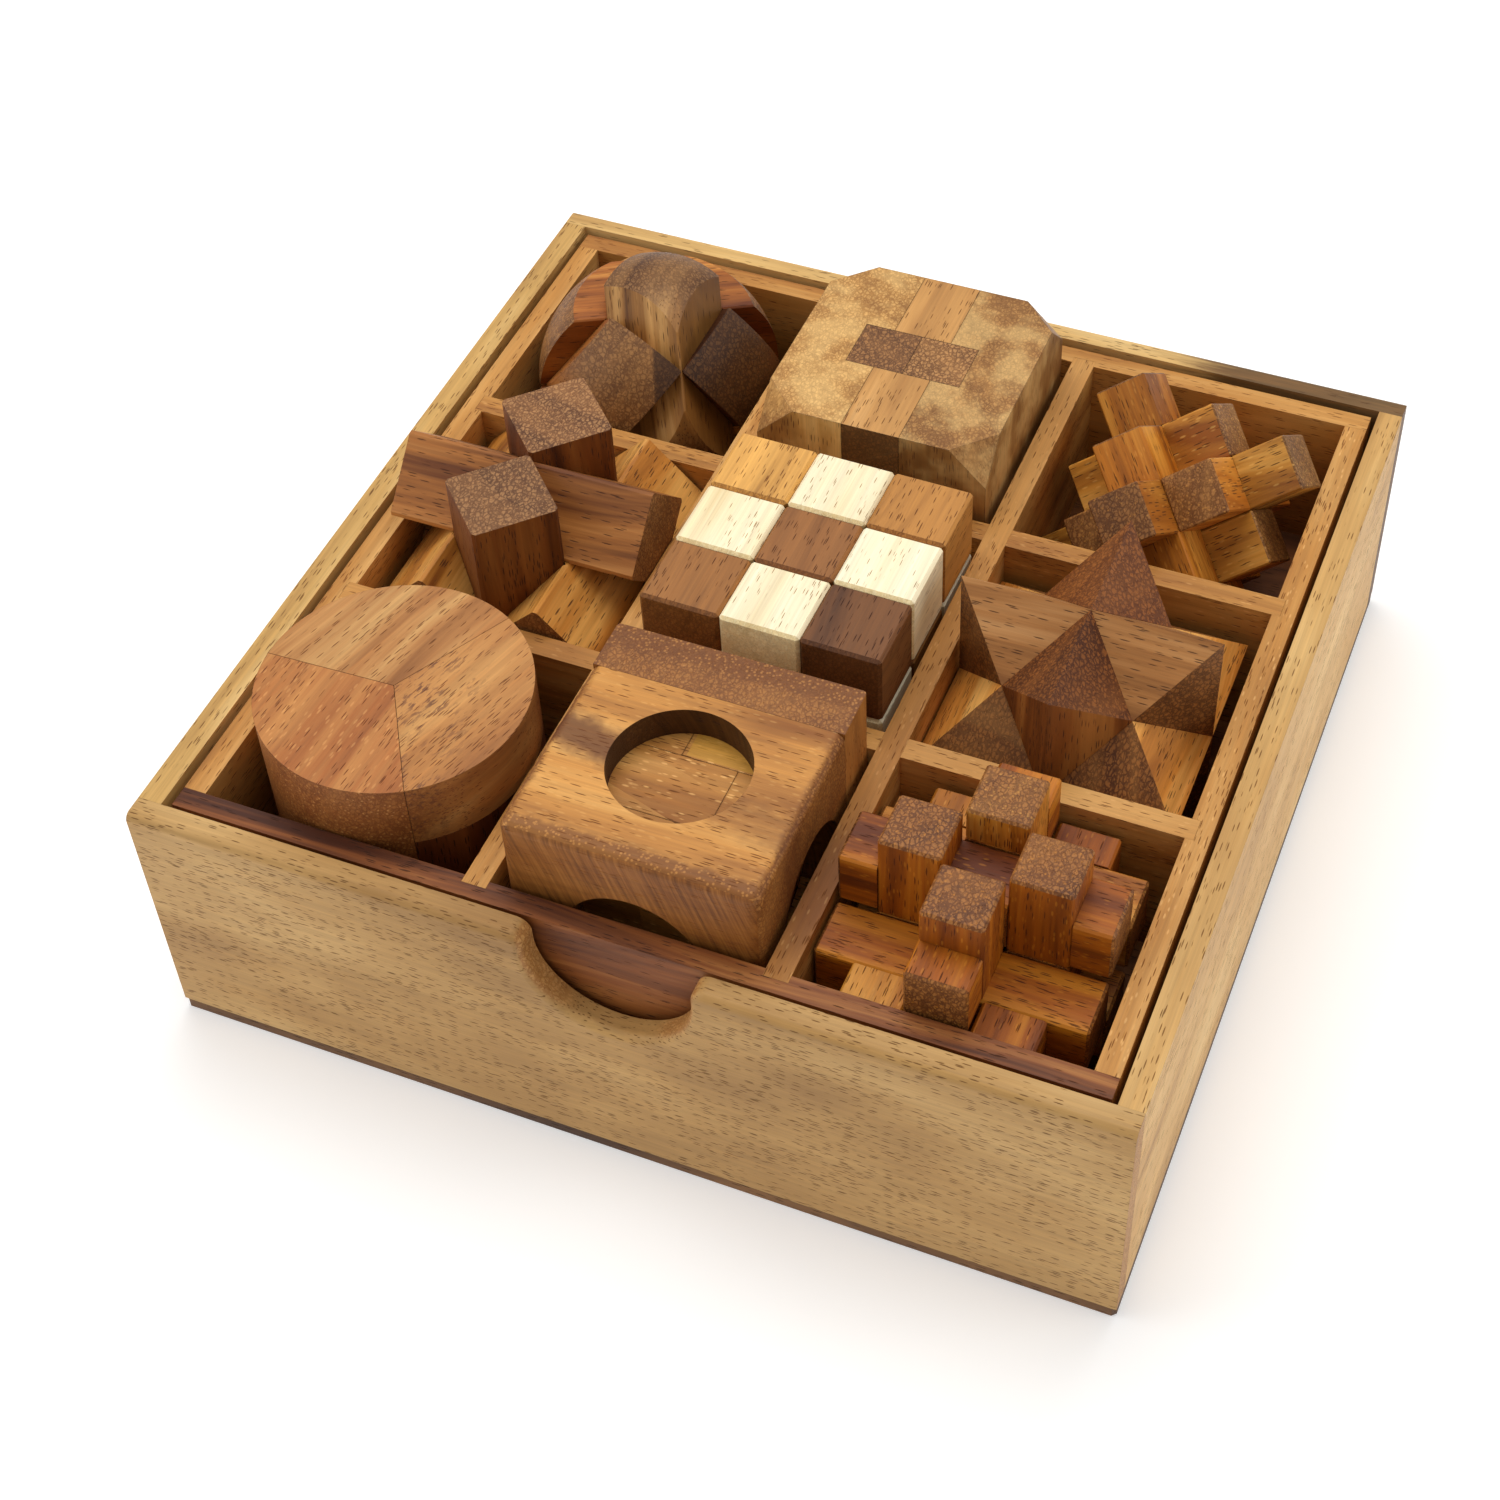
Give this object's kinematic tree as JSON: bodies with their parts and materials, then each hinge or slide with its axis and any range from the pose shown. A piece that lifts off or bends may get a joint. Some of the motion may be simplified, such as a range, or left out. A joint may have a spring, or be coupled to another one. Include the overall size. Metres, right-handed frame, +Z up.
{
  "type": "boxed wooden burr puzzle set",
  "caption": "Open wooden tray with a grid insert holding interlocking stick burrs, a ball, a star, a stepped burr, a snake cube, a cylinder and a windowed box.",
  "frame": {"origin": "centre of the underside of the box", "axes": "+X right along the front edge, +Y to the back, +Z up; the finger scoop is in the front wall at -Y"},
  "size_m": [0.24, 0.24, 0.0964],
  "materials": {
    "box_wood": "satin",
    "insert_wood": "satin",
    "burr_wood": "satin",
    "ball_wood": "satin",
    "blunt_wood": "satin",
    "star_wood": "satin",
    "cube_wood": "satin",
    "stepped_wood": "satin",
    "light_wood": "satin",
    "dark_wood": "satin",
    "elastic": "matte",
    "cylinder_wood": "satin",
    "window_wood": "satin"
  },
  "bodies": {
    "tray": {"back_wall": "box_wood", "base_panel": "box_wood", "divider_back": "insert_wood", "divider_front": "insert_wood", "divider_left": "insert_wood", "divider_right": "insert_wood", "front_wall": "box_wood", "insert_back_rail": "insert_wood", "insert_floor": "insert_wood", "insert_front_rail": "insert_wood", "insert_left_rail": "insert_wood", "insert_right_rail": "insert_wood", "left_wall": "box_wood", "right_wall": "box_wood"},
    "twelve_stick_burr": {"burr_x_back": "burr_wood", "burr_x_front": "burr_wood", "burr_x_high": "burr_wood", "burr_x_low": "burr_wood", "burr_y_high": "burr_wood", "burr_y_left": "burr_wood", "burr_y_low": "burr_wood", "burr_y_right": "burr_wood", "burr_z_back": "burr_wood", "burr_z_front": "burr_wood", "burr_z_left": "burr_wood", "burr_z_right": "burr_wood"},
    "ball_burr": {"ball_x_sticks": "ball_wood", "ball_y_sticks": "ball_wood", "ball_z_sticks": "ball_wood"},
    "blunt_burr": {"blunt_x_sticks": "blunt_wood", "blunt_y_sticks": "blunt_wood", "blunt_z_sticks": "blunt_wood"},
    "star_burr": {"star_x_sticks": "star_wood", "star_y_sticks": "star_wood", "star_z_sticks": "star_wood"},
    "cut_corner_cube": {"cube_left": "cube_wood", "cube_right": "cube_wood", "cube_front": "cube_wood", "cube_back": "cube_wood"},
    "cube_post_left": {"cube_key_left": "cube_wood"},
    "cube_post_right": {"cube_key_right": "cube_wood"},
    "stepped_burr": {"stepped_x_sticks": "stepped_wood", "stepped_y_sticks": "stepped_wood", "stepped_z_sticks": "stepped_wood"},
    "snake_cube": {"snake_cord": "elastic", "snake_dark_cubelets": "dark_wood", "snake_light_cubelets": "light_wood"},
    "cylinder_puzzle": {"cylinder_back": "cylinder_wood", "cylinder_cap": "cylinder_wood", "cylinder_base": "cylinder_wood"},
    "cylinder_wedge_piece": {"cylinder_wedge": "cylinder_wood"},
    "window_box": {"window_blocks": "window_wood", "window_body": "window_wood", "window_cover": "window_wood"}
  },
  "joints": [
    {"name": "twelve_stick_burr_lift", "type": "slide", "parent": "tray", "child": "twelve_stick_burr", "axis": [0, 0, 1], "range_m": [0, 0.075]},
    {"name": "ball_burr_lift", "type": "slide", "parent": "tray", "child": "ball_burr", "axis": [0, 0, 1], "range_m": [0, 0.075]},
    {"name": "blunt_burr_lift", "type": "slide", "parent": "tray", "child": "blunt_burr", "axis": [0, 0, 1], "range_m": [0, 0.075]},
    {"name": "star_burr_lift", "type": "slide", "parent": "tray", "child": "star_burr", "axis": [0, 0, 1], "range_m": [0, 0.075]},
    {"name": "cut_corner_cube_lift", "type": "slide", "parent": "tray", "child": "cut_corner_cube", "axis": [0, 0, 1], "range_m": [0, 0.075]},
    {"name": "stepped_burr_lift", "type": "slide", "parent": "tray", "child": "stepped_burr", "axis": [0, 0, 1], "range_m": [0, 0.075]},
    {"name": "snake_cube_lift", "type": "slide", "parent": "tray", "child": "snake_cube", "axis": [0, 0, 1], "range_m": [0, 0.075]},
    {"name": "cylinder_lift", "type": "slide", "parent": "tray", "child": "cylinder_puzzle", "axis": [0, 0, 1], "range_m": [0, 0.075]},
    {"name": "window_box_lift", "type": "slide", "parent": "tray", "child": "window_box", "axis": [0, 0, 1], "range_m": [0, 0.075]},
    {"name": "cube_post_left_slide", "type": "slide", "parent": "cut_corner_cube", "child": "cube_post_left", "axis": [0, 0, 1], "range_m": [0, 0.062]},
    {"name": "cube_post_right_slide", "type": "slide", "parent": "cut_corner_cube", "child": "cube_post_right", "axis": [0, 0, 1], "range_m": [0, 0.062]},
    {"name": "cylinder_wedge_slide", "type": "slide", "parent": "cylinder_puzzle", "child": "cylinder_wedge_piece", "axis": [0, 0, 1], "range_m": [0, 0.062]}
  ]
}
